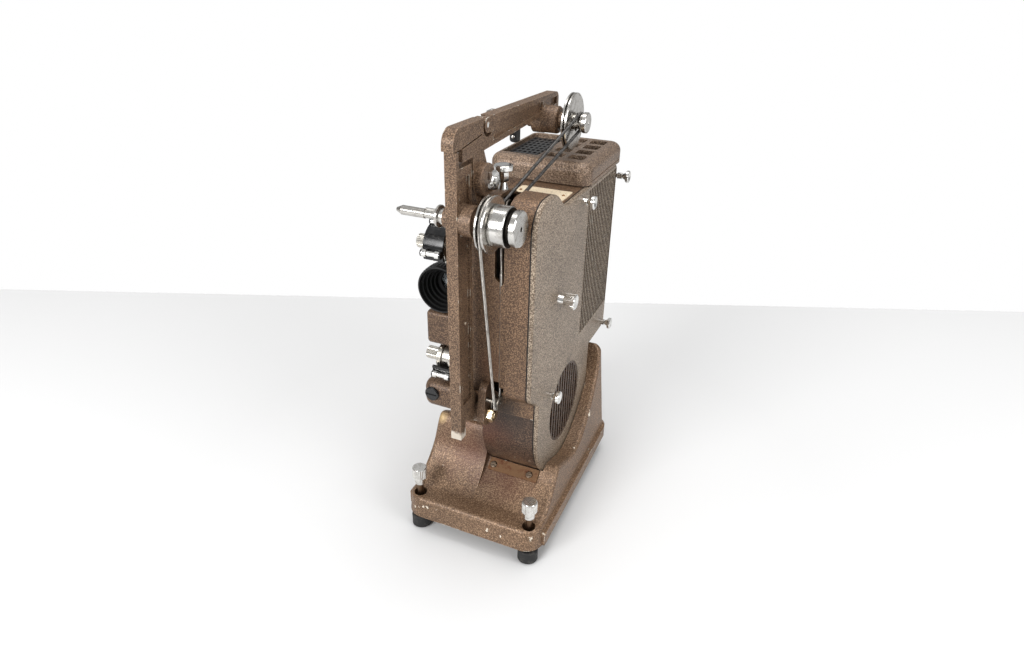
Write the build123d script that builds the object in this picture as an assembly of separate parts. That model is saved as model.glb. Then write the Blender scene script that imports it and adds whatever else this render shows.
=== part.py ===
from build123d import *
import os
from math import cos, sin, tan, pi, radians

os.makedirs("parts", exist_ok=True)

# A small cine projector with folding spool arms. Millimetres, +Z up. The lens looks along -Y,
# the plain side cover is on +X and the film path on -X. The origin is on the table, under the
# middle of the whole machine. Sizes along Y below are measured from the base's front edge.

# Base casting, tilt screws and feet
base_w = 150
base_l = 228
origin_y = base_l / 2 + 6
skirt_z = 19.5
rim_h = 13.5
ledge = 2.5
corner_r = 18
side_draft = 5.0
shoulder_r = 4
lip_z = 42
crest_right_z = 73
crest_left_z = 103
saddle_right_z = 60.5
saddle_left_z = 74
tower_z = 144
base_wall = 6
tilt_x = 59.3
tilt_y = 12
tilt_hole_r = 6.6
stem_r = 3
tilt_knob_r = 7.5
foot_r = 10
rear_foot_y = 203

# Clamp plate between the ramp and the drum
bracket_x0 = -3
bracket_x1 = 50
bracket_y = 51.8
bracket_z = 60
bracket_slope = 35
bracket_l = 13
bracket_t = 2.2

# Body casting, blower drum and side cover
case_x0 = -14.5
case_x1 = 48
case_front = 21
case_rear = 256
case_top = 336
case_low = 149
hump_z = 354
hump_r = 24
wall = 3.5
recess = 8
recess_x = 22.5
drum_y = 118
drum_z = 120
drum_r = 75
drum_x0 = -5
split_z = 142
cover_t = 4.2
cover_rear = 246.5
cover_gap = 0.3
grille_r = 42.5
grille_bars = 11
rib_y0 = 152
rib_count = 17
rib_pitch = 5.6
slot_x0 = 13.5
slot_x1 = 25.5
slot_z = 282
slot_y1 = 74

# Film path on the left side
film_x = -37
film_w = 16
axis_z = 266
lens_r = 22
lens_front = 24
barrel_r = 17
gate_y = 92
upper_at = (34, 305)
lower_at = (42, 190)
tooth_count = 12
sprocket_r = 14.2
keepers = [("upper", upper_at, (54, 317), 55, 150), ("lower", lower_at, (62, 178), -25, -150)]
roller_places = (0.3, 0.85)

# Folding spool arms and their spindles
arm_x0 = -11.3
arm_x1 = -1.3
arm_y0 = -8
arm_y1 = 17
arm_top = 396
arm_tail = 138
low_pivot = (26.5, 149.5)
ear_x0 = 3
ear_x1 = 10
takeup_at = (4.5, 341.5)
boss_at = (34, 366.5)
boss_r = 14
top_z = 414
bracket_end = 40
knuckle_r = 6
supply_at = (172, 389)
arm_end = 206
end_top_z = 409.5
end_low_z = 394.5
spindle_r = 4
spool_r = 3.9
spool_seat_x = -36
spindle_tip = -62
pulley_r = 22.5
disc_r = 25.5
drive_low = (20.8, 168)
drive_top = (35.5, 346)
belt_r = 1.5

# Lamp house and cap
lamp_x0 = -48
lamp_x = -35
lamp_wall = 2.5
lamp_y0 = 150
lamp_z0 = 200
cap_x0 = -48.5
cap_x1 = 53.6
cap_y0 = 146
cap_y1 = 258.5
cap_top = 357

# Fits
run_gap = 0.09
fit_gap = 0.3
knurl_depth = 0.5
knurl_end = 0.7

cover_x0 = case_x1 + cover_gap
cover_x1 = cover_x0 + cover_t
cap_z0 = case_top + 1
screw_places = [(133, 328), (232, 158.3), (66, 158)]
clamp_at = (84.4, 250.4)
rear_screw_at = (251, 322)
top_screw = (8, 56.5)


def box(x0, x1, y0, y1, z0, z1):
    """A box between two corners."""
    centre = Pos((x0 + x1) / 2, (y0 + y1) / 2, (z0 + z1) / 2)
    return centre * Box(x1 - x0, y1 - y0, z1 - z0)


def rod_x(x0, x1, at, r):
    """A round bar along X, at = (y, z)."""
    return Pos((x0 + x1) / 2, at[0], at[1]) * Rot(0, 90, 0) * Cylinder(r, x1 - x0)


def cone_x(x0, x1, at, r0, r1):
    """A round taper along X, from radius r0 at x0 to r1 at x1."""
    return Pos((x0 + x1) / 2, at[0], at[1]) * Rot(0, 90, 0) * Cone(r0, r1, x1 - x0)


def rod_y(y0, y1, x, z, r):
    """A round bar along Y."""
    return Pos(x, (y0 + y1) / 2, z) * Rot(90, 0, 0) * Cylinder(r, y1 - y0)


def rod_z(z0, z1, x, y, r):
    """A round bar along Z."""
    return Pos(x, y, (z0 + z1) / 2) * Cylinder(r, z1 - z0)


def prism_x(face, x0, x1):
    """A side outline, drawn in (y, z), given a thickness along X."""
    return extrude(Plane.YZ.offset(x0) * face, amount=x1 - x0)


def disc(at, r):
    """A circle in a side outline."""
    return Pos(*at) * Circle(r)


def rect(y0, y1, z0, z1):
    """A rectangle in a side outline."""
    return Pos((y0 + y1) / 2, (z0 + z1) / 2) * Rectangle(y1 - y0, z1 - z0)


def link(at_a, r_a, at_b, r_b):
    """Two circles in a side outline and the straight sides that join them."""
    return make_hull((disc(at_a, r_a) + disc(at_b, r_b)).edges())


def hex_nut(x0, x1, at, flats):
    """A hexagon nut along X with its outer corners turned off."""
    body = prism_x(Pos(*at) * RegularPolygon(flats / 2, 6, major_radius=False), x0, x1)
    dome = rod_x(x0, x1, at, flats * 0.57)
    return body & chamfer(dome.edges().sort_by(Axis.X)[-1], (x1 - x0) * 0.25)


def knurl(r, count):
    """A round outline with fine straight teeth, for the grip of a knob."""
    points = []
    for i in range(2 * count):
        a = pi * i / count
        reach = r - knurl_depth * (i % 2)
        points.append((reach * cos(a), reach * sin(a)))
    return make_face(Polyline(*points, points[0]))


def knurled_x(x0, x1, at, r, count):
    """A knurled round head along X: a toothed grip on a disc with chamfered ends."""
    core = chamfer(rod_x(x0, x1, at, r - knurl_depth).edges(), knurl_end)
    return core + prism_x(Pos(*at) * knurl(r, count), x0 + knurl_end, x1 - knurl_end)


def save(name, shape):
    """Write one node, moved so that the origin is under the middle of the machine."""
    export_step(Pos(0, -origin_y, 0) * shape, "parts/" + name + ".step")


def base_profile(crest, crest_z, saddle, swell):
    """Side outline of the base: flat lip, ramp up to a crest, saddle, and the rear tower."""
    rise = crest_z - lip_z
    lift = tower_z - saddle
    fall = crest_z - saddle
    line = [
        (20, lip_z),
        (34, lip_z + rise * swell[0]),
        (46, lip_z + rise * swell[1]),
        (crest - 13, lip_z + rise * swell[2]),
        (crest, crest_z),
        (crest + 7, crest_z - fall * 0.1),
        (crest + 21, crest_z - fall * 0.5),
        (drum_y - 3, saddle),
        (drum_y + 33, saddle + lift * 0.13),
        (base_l - 43, saddle + lift * 0.46),
        (base_l - 28, saddle + lift * 0.68),
        (base_l - 17, saddle + lift * 0.92),
        (base_l - 8, tower_z),
    ]
    top = Spline(*line, tangents=[(1, 0), (1, 0.3)], tangent_scalars=[1, 0.3])
    rest = Polyline((base_l - 8, tower_z), (base_l + 5, tower_z), (base_l + 5, skirt_z),
                    (-5, skirt_z), (-5, lip_z), (20, lip_z))
    return make_face(top + rest)


def hull(t):
    """The base's tapered block with rounded corners, drawn in by t for the inner side."""
    height = tower_z + 10 - skirt_z
    inset = height * tan(radians(side_draft))
    w = base_w - 2 * ledge - 2 * t
    l = base_l - 2 * t
    low = Pos(0, base_l / 2) * RectangleRounded(w, l, corner_r - t)
    high = Pos(0, base_l / 2) * RectangleRounded(w - 2 * inset, l - 2 * inset,
                                                 corner_r - t - inset * 0.9)
    return loft([Plane.XY.offset(skirt_z) * low, Plane.XY.offset(skirt_z + height) * high],
                ruled=True)


def base_half(x0, x1, profile):
    """One side of the tapered block under its own side outline, with a soft outer shoulder."""
    half = hull(0) & prism_x(profile, x0, x1)
    edges = []
    for edge in half.edges():
        place = edge.bounding_box()
        if place.min.Z > lip_z - 1 and place.max.Y < base_l - 14 and abs(edge.center().X) > 10:
            if place.max.Y < 19.9 or place.size.Y > 1:
                edges.append(edge)
    return fillet(edges, shoulder_r)


def base():
    """The cast base: rim, swept ramp, saddle for the drum, rear tower and hollow underside."""
    cut_x = drum_x0 - 1.5
    left = base_profile(70, crest_left_z, saddle_left_z, (0.11, 0.3, 0.6))
    right = base_profile(69, crest_right_z, saddle_right_z, (0.18, 0.44, 0.69))
    body = base_half(-base_w / 2, cut_x, left) + base_half(cut_x, base_w / 2, right)
    plan = Pos(0, base_l / 2) * RectangleRounded(base_w, base_l, corner_r + ledge)
    rim = extrude(Plane.XY.offset(skirt_z) * plan, amount=rim_h)
    body += rim & box(-base_w, base_w, 16, base_l + 1, 0, 100)
    # Round trough under the blower drum, as long as the drum and its cover.
    body -= rod_x(drum_x0 - 1, cover_x1 + 0.8, (drum_y, drum_z), drum_r + 0.6)
    # Machined seat for the clamp plate.
    body -= on_ramp(box(bracket_x0 - 0.5, bracket_x1 + 0.5, -0.5, bracket_l + 2, 0, 12))
    # Hollow underside that follows the outside, with walls left round the screws and feet.
    keep = rod_x(drum_x0 - 1 - base_wall, base_w, (drum_y, drum_z), drum_r + 0.6 + base_wall)
    for x in (-tilt_x, tilt_x):
        keep += rod_z(skirt_z, tower_z, x, tilt_y, tilt_hole_r + 4)
        keep += rod_z(skirt_z, tower_z, x * 0.93, rear_foot_y, foot_r + 1)
    inner_x = cut_x - base_wall
    for x0, x1, profile in ((-base_w, inner_x, left), (inner_x, base_w, right)):
        body -= (hull(base_wall) & prism_x(Pos(0, -base_wall - 2) * profile, x0, x1)) - keep
    for x in (6, 36):
        body += rod_z(tower_z - 12, case_low, x, base_l - 20, 5)
    for x in (-tilt_x, tilt_x):
        body -= rod_z(skirt_z + 7, lip_z + 20, x, tilt_y, tilt_hole_r)
        body -= rod_z(skirt_z - 1, skirt_z + 8, x, tilt_y, stem_r + run_gap)
    return body


def tilt_screw(x):
    """A tilt screw: knurled head, collar and long stem down to its foot."""
    screw = rod_z(8, 56, x, tilt_y, stem_r) + rod_z(54, 61, x, tilt_y, tilt_knob_r * 0.72)
    head = chamfer(rod_z(61, 73, x, tilt_y, tilt_knob_r - knurl_depth).edges(), knurl_end)
    grip = Pos(x, tilt_y, 61 + knurl_end) * extrude(knurl(tilt_knob_r, 26), amount=12 - 2 * knurl_end)
    return screw + head + grip


def tilt_foot(x):
    """The rubber foot pressed on the end of a tilt screw."""
    foot = rod_z(0, 15, x, tilt_y, foot_r)
    foot = chamfer(foot.edges().sort_by(Axis.Z)[0], 2)
    foot = fillet(foot.edges().sort_by(Axis.Z)[-1], 2)
    return foot - rod_z(8, 16, x, tilt_y, stem_r)


def rear_feet():
    """Two rubber feet under the rear of the base."""
    foot = rod_z(0, skirt_z, tilt_x * 0.93, rear_foot_y, foot_r)
    foot = chamfer(foot.edges().sort_by(Axis.Z)[0], 2)
    return foot + mirror(foot, about=Plane.YZ)


def on_ramp(shape):
    """Lay a piece, drawn flat with its front edge at y = 0, on the ramp before the drum."""
    return Pos(0, bracket_y, bracket_z) * Rot(bracket_slope, 0, 0) * shape


def bracket():
    """The clamp plate that holds the foot of the drum to the ramp."""
    plate = box(bracket_x0, bracket_x1, 0, bracket_l, 0, bracket_t)
    plate = fillet(plate.edges().filter_by(Axis.Z), 1.0)
    for x in (bracket_x0 + 5, bracket_x1 - 9):
        plate -= rod_z(-1, bracket_t + 1, x, bracket_l * 0.45, 2.2)
    return on_ramp(plate)


def bracket_screws():
    """The two slotted screws of the clamp plate."""
    screws = None
    y = bracket_l * 0.45
    for x in (bracket_x0 + 5, bracket_x1 - 9):
        head = rod_z(bracket_t, bracket_t + 1.8, x, y, 3.4)
        head = fillet(head.edges().sort_by(Axis.Z)[-1], 0.9)
        head -= box(x - 4, x + 4, y - 0.45, y + 0.45, bracket_t + 0.9, bracket_t + 3)
        screw = head + rod_z(0.1, bracket_t, x, y, 2.1)
        screws = screw if screws is None else screws + screw
    return on_ramp(screws)


def body_outline(rear, t=0):
    """Side outline of the body above the drum joint, drawn in by t for the inner side."""
    front = drum_y - drum_r + t
    back = drum_y + drum_r + t
    y0 = case_front + t
    y1 = rear - t
    crown = hump_z - t
    top = case_top - t
    low = case_low + t
    r = hump_r - t
    line = [
        Line((y0, 182), (y0, crown - r)),
        TangentArc((y0, crown - r), (y0 + r, crown), tangent=(0, 1)),
        Line((y0 + r, crown), (56, crown)),
        Spline((56, crown), (98, top), tangents=[(1, 0), (1, 0)]),
        Line((98, top), (y1 - 6, top)),
        TangentArc((y1 - 6, top), (y1, top - 6), tangent=(1, 0)),
        Line((y1, top - 6), (y1, low + 9)),
        TangentArc((y1, low + 9), (y1 - 9, low), tangent=(0, -1)),
        Polyline((y1 - 9, low), (back, low), (back, split_z + t), (front, split_z + t),
                 (front, 158 + t / 2), (33 + t, 167 + t / 2)),
        Spline((33 + t, 167 + t / 2), (y0, 182), tangents=[(-10, 8), (0, 1)]),
    ]
    return make_face(line)


def drum_outline(top):
    """Side outline of the blower drum up to its joint with the body."""
    return disc((drum_y, drum_z), drum_r) + rect(drum_y - drum_r, drum_y + drum_r, drum_z, top) - rect(
        drum_y - drum_r - 1, drum_y + drum_r + 1, top, drum_z + drum_r + 1)


def casing():
    """The body casting: an open-sided shell with a recess, belt slot and pivot ear in front."""
    outline = body_outline(case_rear)
    solid = prism_x(outline, case_x0, case_x1)
    body = solid - prism_x(body_outline(case_rear, wall), case_x0 + wall, case_x1 + 1)
    # Step the front wall back behind the folded arm.
    back = case_front + recess
    body += box(case_x0 + 1, recess_x + wall, case_front + 1, back + wall, 170, hump_z - 12) & solid
    body -= box(case_x0 - 1, recess_x, case_front - 1, back, 140, hump_z - 16)
    # Bosses for the side cover's screws, and the wall that carries the middle one.
    for at in screw_places:
        body += rod_x(case_x0 + 1, case_x1, at, 6.5) & solid
        body -= rod_x(case_x1 - 12, case_x1 + 1, at, 2.2)
    body += rod_x(case_x0 + 1, case_x1, clamp_at, 7)
    body -= rod_x(case_x1 - 14, case_x1 + 1, clamp_at, 2.7)
    body += rod_x(case_x0 + 1, cover_x0, rear_screw_at, 5)
    body -= rod_x(case_x1 - 12, cover_x0 + 1, rear_screw_at, 2.2)
    # Belt slot through the front wall and over the top, round at its lower end.
    half = (slot_x1 - slot_x0) / 2
    body -= box(slot_x0, slot_x1, case_front - 2, slot_y1, slot_z + half, hump_z + 2)
    body -= rod_y(case_front - 2, back + wall + 2, slot_x0 + half, slot_z + half, half)
    # Hollow at the foot of the recess, round the take-up drive pulley.
    body -= box(ear_x1 + 2, recess_x + 4, case_front - 2, 41, 150, 184)
    # Ear for the lower arm's pivot.
    body += prism_x(link(low_pivot, 11.5, (27.5, 174), 8.5), ear_x0, ear_x1)
    body -= rod_x(ear_x0 - 1, ear_x1 + 1, low_pivot, spindle_r)
    body -= rod_x(ear_x0 - 1, ear_x1 + 1, drive_low, 2 + run_gap)
    # Holes: air to the drum, air and light at the lamp house, sprocket shafts, screws.
    body -= box(drum_x0 + wall, case_x1 - 6, drum_y - 60, drum_y + 60, split_z - 1, split_z + wall + 1)
    body -= box(case_x0 - 1, case_x0 + wall + 1, 162, 244, 215, 320)
    body -= box(case_x0 + 8, 40, 165, 240, case_top - wall - 1, case_top + 1)
    for at in (upper_at, lower_at):
        body -= rod_x(case_x0 - 1, case_x0 + wall + 8, at, 3 + run_gap)
    body -= prism_x(link(drive_top, 4, (48, 318), 7.4), 1.6, 9.9)
    body -= rod_x(9, slot_x0 + 1, drive_top, 2.3)
    body -= rod_z(hump_z - 12, hump_z + 1, top_screw[0], top_screw[1], 2.2)
    return body


def blower_drum():
    """The round blower housing that sits in the saddle, open to the side cover."""
    outline = drum_outline(split_z)
    body = prism_x(outline, drum_x0, case_x1)
    body -= prism_x(offset(outline, amount=-wall), drum_x0 + wall, case_x1 + 1)
    body -= box(drum_x0 + wall, case_x1 - 6, drum_y - 60, drum_y + 60, split_z - wall - 1, split_z + 1)
    body -= rod_x(drum_x0 - 1, drum_x0 + wall + 1, (drum_y, drum_z), 6)
    return body


def cover_outline():
    """Side outline of the cover: the body and the drum together."""
    return body_outline(cover_rear) + drum_outline(split_z + 1)


def side_cover():
    """The cast side cover: soft edge, round grille opening and a panel of upright ribs."""
    cover = prism_x(cover_outline(), cover_x0, cover_x1)
    cover = fillet(cover.faces().sort_by(Axis.X)[-1].edges(), 2.2)
    cover -= rod_x(cover_x0 - 1, cover_x1 + 1, (drum_y, drum_z), grille_r)
    # Sunk panel with ribs left standing in it.
    z0 = split_z + 38
    panel = box(cover_x1 - 1.6, cover_x1 + 1, rib_y0, cover_rear - 2.5, z0, case_top - 4)
    for i in range(rib_count):
        y = rib_y0 + rib_pitch * (i + 0.5)
        if y < cover_rear - 4:
            panel -= box(cover_x1 - 2, cover_x1 - 0.2, y - 0.9, y + 0.9, z0 - 1, case_top)
    panel -= rod_x(cover_x0, cover_x1 + 1, screw_places[1], 8)
    cover -= panel
    for at in screw_places:
        cover -= rod_x(cover_x0 - 1, cover_x1 + 1, at, 2.6)
    cover -= rod_x(cover_x0 - 1, cover_x1 + 1, clamp_at, 3.1)
    return cover


def grille():
    """The round grille: a rim and a row of upright bars, flush in the cover's opening."""
    r = grille_r - 0.05
    ring = rod_x(cover_x0, cover_x1 - 0.6, (drum_y, drum_z), r)
    hole = rod_x(cover_x0 - 1, cover_x1, (drum_y, drum_z), r - 2.6)
    step = 2 * (r - 2.6) / grille_bars
    for i in range(1, grille_bars):
        y = drum_y - (r - 2.6) + step * i
        hole -= box(cover_x0, cover_x1 - 0.6, y - 1.5, y + 1.5, drum_z - r, drum_z + r)
    return ring - hole


def cover_screw(at, x0, head_r=6.3):
    """A cover thumb screw: thin stem and a flat dished head."""
    stem = rod_x(x0, cover_x1 + 11, at, 2.1)
    neck = rod_x(cover_x1, cover_x1 + 5, at, 3.2) + cone_x(cover_x1 + 5, cover_x1 + 9, at, 2.2, 4.2)
    head = chamfer(rod_x(cover_x1 + 9, cover_x1 + 12.5, at, head_r).edges(), 0.7)
    head -= cone_x(cover_x1 + 11.2, cover_x1 + 12.6, at, 1.5, head_r - 1.6)
    return stem + neck + head


def clamp_knob():
    """The large knurled knob in the middle of the cover, on its wide collar."""
    stem = rod_x(case_x1 - 13, cover_x1 + 6, clamp_at, 2.6)
    collar = cone_x(cover_x1, cover_x1 + 6, clamp_at, 5.2, 4.2)
    head = knurled_x(cover_x1 + 5.5, cover_x1 + 16, clamp_at, 7.6, 28)
    return stem + collar + head - cone_x(cover_x1 + 14.8, cover_x1 + 16.1, clamp_at, 2, 5.6)


def nameplate():
    """The bare plate on the level top of the body."""
    plate = box(-4, 45, 99, 127, case_top, case_top + 0.8)
    return fillet(plate.edges().filter_by(Axis.Z), 1.5)


def impeller():
    """Blower wheel and motor shaft: back plate, hub, curved blades and an end ring."""
    centre = (drum_y, drum_z)
    wheel = rod_x(2, 4, centre, 56) + rod_x(2, 18, centre, 10)
    wheel += rod_x(36, 38, centre, 56) - rod_x(35, 39, centre, 47)
    blade = prism_x(disc((50, 5), 7) - disc((50, 5), 6), 3.8, 36.2)
    blade &= box(0, 40, 45.6, 55.4, -3, 3.6)
    for i in range(18):
        wheel += Pos(0, *centre) * Rot(20 * i, 0, 0) * blade
    return wheel + rod_x(case_x0 - 20, 20, centre, 5)


def motor_housing():
    """Motor and gear housing on the left: round motor case with a box in front of it."""
    x0 = -62
    case = fillet(rod_x(x0, case_x0 - fit_gap, (drum_y, drum_z), 40).edges().sort_by(Axis.X)[0], 8)
    front = box(x0, case_x0 - fit_gap, 30, drum_y, 135, 164)
    front = fillet(front.edges().filter_by(Axis.X).group_by(Axis.Y)[0], 9)
    front = fillet(front.edges().group_by(Axis.X)[0].filter_by(lambda e: e.center().Y < 100), 8)
    neck = rod_x(case_x0 - 1, drum_x0 - 0.1, (drum_y, drum_z), 28)
    neck &= box(-80, 20, 0, 200, 0, split_z - fit_gap)
    body = case + front + neck
    body -= rod_x(case_x0 - 22, drum_x0 + 1, (drum_y, drum_z), 5 + run_gap)
    return body - rod_y(29, 36, -51.5, 152, 5)


def brush_cap():
    """The slotted black cap of the motor's brush holder."""
    cap = rod_y(27.5, 36, -51.5, 152, 5) + rod_y(27.5, 30, -51.5, 152, 7.2)
    cap = chamfer(cap.edges().sort_by(Axis.Y)[0], 0.8)
    return cap - box(-57, -46, 26, 28.7, 151.2, 152.8)


def lamp_house():
    """The lamp house on the left: an open-topped cast box with a round light port."""
    x1 = case_x0 - fit_gap
    house = box(lamp_x0, x1, lamp_y0, case_rear, lamp_z0, cap_z0 - fit_gap)
    house = fillet(house.edges().filter_by(Axis.Z).group_by(Axis.X)[0], 8)
    house = fillet(house.faces().sort_by(Axis.Z)[0].edges().group_by(Axis.X)[0], 4)
    t = lamp_wall
    house -= box(lamp_x0 + t, x1 - t, lamp_y0 + t, case_rear - t, lamp_z0 + t, cap_z0)
    house -= rod_y(lamp_y0 - 1, lamp_y0 + t + 1, film_x, axis_z, 8.4)
    house -= box(x1 - t - 1, x1 + 1, 162, 244, 215, 320)
    return house


def lamp_cap():
    """The louvred cap: deep rolled edge, a screen window and two columns of openings."""
    cap = box(cap_x0, cap_x1, cap_y0, cap_y1, cap_z0, cap_top)
    cap = fillet(cap.edges().filter_by(Axis.Z), 12)
    cap = fillet(cap.faces().sort_by(Axis.Z)[-1].edges(), 9)
    cap -= box(cap_x0 + 5, cap_x1 - 5, cap_y0 + 5, cap_y1 - 5, cap_z0 - 1, cap_top - 4)
    lip = box(cap_x0 - 1, cap_x1 + 1, cap_y0 - 1, cap_y1 + 1, cap_z0 + 3, cap_z0 + 4.2)
    lip -= box(cap_x0 + 0.7, cap_x1 - 0.7, cap_y0 + 0.7, cap_y1 - 0.7, cap_z0, cap_top)
    cap -= lip
    for column in (12, 33):
        for row in range(4):
            y = 170 + 22 * row
            hole = box(column - 8, column + 8, y - 7.5, y + 7.5, cap_top - 6, cap_top + 1)
            cap -= fillet(hole.edges().filter_by(Axis.Z), 1.5)
    window = box(-40, -3, 160, 246, cap_top - 6, cap_top + 1)
    cap -= fillet(window.edges().filter_by(Axis.Z), 2)
    return cap


def cap_screen():
    """The perforated screen under the cap's window."""
    screen = box(-42, -1, 158, 248, cap_top - 5.2, cap_top - 4)
    for i in range(7):
        for j in range(9):
            x = -36 + 5.2 * i
            y = 164.5 + 9.2 * j
            screen -= box(x - 1.7, x + 1.7, y - 2.9, y + 2.9, cap_top - 6, cap_top - 3)
    return screen


def lamp():
    """Projection lamp: tubular bulb with a domed end on a ringed metal base."""
    bulb = fillet(rod_z(226, 305, lamp_x, 200, 10).edges().sort_by(Axis.Z)[-1], 9.6)
    return bulb + rod_z(208, 226, lamp_x, 200, 8) + rod_z(221, 223.5, lamp_x, 200, 10.3)


def lamp_socket():
    """The lamp's socket, standing on the floor of the lamp house."""
    floor = lamp_z0 + lamp_wall
    socket = rod_z(floor, 220.7, lamp_x, 200, 10.2)
    return socket - rod_z(floor + 4, 222, lamp_x, 200, 8 + run_gap)


def reflector():
    """The concave mirror behind the lamp, on its foot."""
    centre = Pos(lamp_x, 196, axis_z)
    bowl = (centre * Sphere(30) - centre * Sphere(28.8)) & rod_y(219, 228, lamp_x, axis_z, 10)
    return bowl + box(lamp_x - 5, lamp_x + 5, 222, 225, lamp_z0 + lamp_wall, axis_z - 8)


def condenser():
    """The condenser lens in the light port, in its mount ring."""
    lens = rod_y(lamp_y0 - 1.9, lamp_y0 + lamp_wall + 4, film_x, axis_z, 8.3)
    return fillet(lens.edges().sort_by(Axis.Y)[-1], 3)


def gate_body():
    """The fixed gate: film channel, aperture and the light tunnel behind it."""
    x1 = case_x0 - fit_gap
    gate = box(-56, x1, gate_y, gate_y + 16, 216, 312)
    gate = fillet(gate.edges().filter_by(Axis.X).group_by(Axis.Y)[0], 6)
    half = film_w / 2 + fit_gap
    gate -= box(film_x - half, film_x + half, gate_y - 1, gate_y + 0.4, 200, 320)
    tunnel = box(-54, x1, gate_y + 15, lamp_y0 - 2.3, 238, 296)
    gate += fillet(tunnel.edges().filter_by(Axis.Y).group_by(Axis.X)[0], 8)
    gate -= box(film_x - 5.2, film_x + 5.2, gate_y - 1, gate_y + 17, axis_z - 3.8, axis_z + 3.8)
    return gate - rod_y(gate_y + 6, lamp_y0, film_x, axis_z, 8)


def lens_mount():
    """The lens mount that slides forward to open the gate: lower block and clamp collar."""
    x1 = case_x0 - 0.5
    block = box(-55, x1, 30, 86, 207, 240)
    block = fillet(block.edges().filter_by(Axis.X).group_by(Axis.Y)[0], 4)
    block = fillet(block.edges().filter_by(Axis.Z).group_by(Axis.X)[0], 3)
    collar = prism_x(rect(58, 86, 232, axis_z + 6), -55, x1)
    collar += rod_y(58, 86, film_x, axis_z, 21)
    collar &= box(-60, x1, 50, 90, 200, 300)
    mount = block + collar
    mount -= rod_y(29, 87, film_x, axis_z, barrel_r + run_gap)
    mount -= rod_y(29, 58, film_x, axis_z, lens_r + 2.5)
    return mount


def pressure_plate():
    """The polished plate that holds the film flat in the gate."""
    x0 = film_x - film_w / 2
    plate = box(x0, x0 + film_w, 86.1, gate_y - 0.4, 226, 300)
    plate = fillet(plate.edges().filter_by(Axis.X), 2)
    return plate - box(film_x - 5.2, film_x + 5.2, 85, gate_y, axis_z - 3.8, axis_z + 3.8)


def lens_barrel():
    """The lens barrel: knurled front ring, stepped barrel and a deep stepped mouth."""
    ring = rod_y(lens_front, lens_front + 16, film_x, axis_z, lens_r - knurl_depth)
    ring = chamfer(ring.edges(), 0.4)
    grip = extrude(Plane.XZ.offset(-lens_front - 13) * Pos(film_x, axis_z) * knurl(lens_r, 44), amount=10)
    barrel = ring + grip + rod_y(lens_front + 15, 84, film_x, axis_z, barrel_r)
    barrel += rod_y(lens_front + 15, 54, film_x, axis_z, lens_r - 1.5)
    for i in range(5):
        y0 = lens_front + 4 * i
        barrel -= rod_y(y0 - 0.1, y0 + 4.1, film_x, axis_z, lens_r - 2 - 1.8 * i)
    return barrel - rod_y(lens_front, 85, film_x, axis_z, 9)


def lens_glass():
    """Front and rear glasses of the lens."""
    front = rod_y(lens_front + 20, lens_front + 26, film_x, axis_z, 9)
    ball = Pos(film_x, lens_front + 40, axis_z) * Sphere(20.6)
    rear = rod_y(76, 81, film_x, axis_z, 9)
    return (front & ball) + rear


def sprocket(at):
    """A film sprocket on its shaft: two toothed rims, waisted drum and a knurled hand knob."""
    x0 = film_x - film_w / 2
    x1 = film_x + film_w / 2
    drum = rod_x(x0, x1, at, sprocket_r - 2) + rod_x(x0, x0 + 4, at, sprocket_r)
    drum += rod_x(x1 - 4, x1, at, sprocket_r)
    for i in range(tooth_count):
        tooth = Pos(0, *at) * Rot(360 * i / tooth_count, 0, 0)
        for x in (x0 + 2, x1 - 2):
            drum += tooth * box(x - 0.6, x + 0.6, -0.7, 0.7, sprocket_r - 1, sprocket_r + 1.3)
    shaft = rod_x(-49, case_x0 + wall + 6, at, 3)
    knob = knurled_x(-61, -47.5, at, 6.2, 22)
    return drum + shaft + knob


def keeper(at, pivot, start, turn):
    """A film keeper: two cheeks and a curved shoe round the sprocket, turning on a stud."""
    x0 = film_x - film_w / 2 - 1.4
    x1 = film_x + film_w / 2 + 1.4
    ring = disc(at, 19.6) - disc(at, 17.2)
    points = []
    for k in range(5):
        a = radians(start + turn * k / 4)
        points.append((at[0] + 40 * cos(a), at[1] + 40 * sin(a)))
    wedge = make_face(Polyline(at, *points, at))
    shoe = prism_x(ring & wedge, x0, x1)
    arm = link(pivot, 4, (at[0] + 18.4 * cos(radians(start)), at[1] + 18.4 * sin(radians(start))), 1.6)
    arm -= disc(at, 17.2)
    cheek = prism_x(arm, x1 - 1.4, x1) + prism_x(arm, x0, x0 + 1.4)
    body = shoe + cheek + rod_x(x0, x1, pivot, 4)
    for k in roller_places:
        a = radians(start + turn * k)
        lug_at = (at[0] + 21.5 * cos(a), at[1] + 21.5 * sin(a))
        for x in (x0, x1 - 1.2):
            body += rod_x(x, x + 1.2, lug_at, 3.2)
        body -= rod_x(x0 + 1.2, x1 - 1.2, lug_at, 3.9)
    return body - rod_x(x0 - 1, x1 + 1, pivot, 2 + run_gap)


def keeper_studs():
    """The two fixed studs that the keepers turn on, with their heads."""
    x0 = film_x - film_w / 2 - 1.4
    studs = None
    for name, at, pivot, start, turn in keepers:
        stud = rod_x(x0 - 0.3, case_x0, pivot, 2) + rod_x(x0 - 2.3, x0 - 0.3, pivot, 3.6)
        studs = stud if studs is None else studs + stud
    return studs


def keeper_roller(at, angle):
    """A polished roller of a keeper: two collars on a thin pin between the lugs."""
    x0 = film_x - film_w / 2 - 0.2
    x1 = film_x + film_w / 2 + 0.2
    place = (at[0] + 21.5 * cos(radians(angle)), at[1] + 21.5 * sin(radians(angle)))
    roller = rod_x(x0 + 0.1, x1 - 0.1, place, 3.4) - rod_x(x0 + 4, x1 - 4, place, 4)
    return roller + rod_x(x0, x1, place, 2.4)


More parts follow.
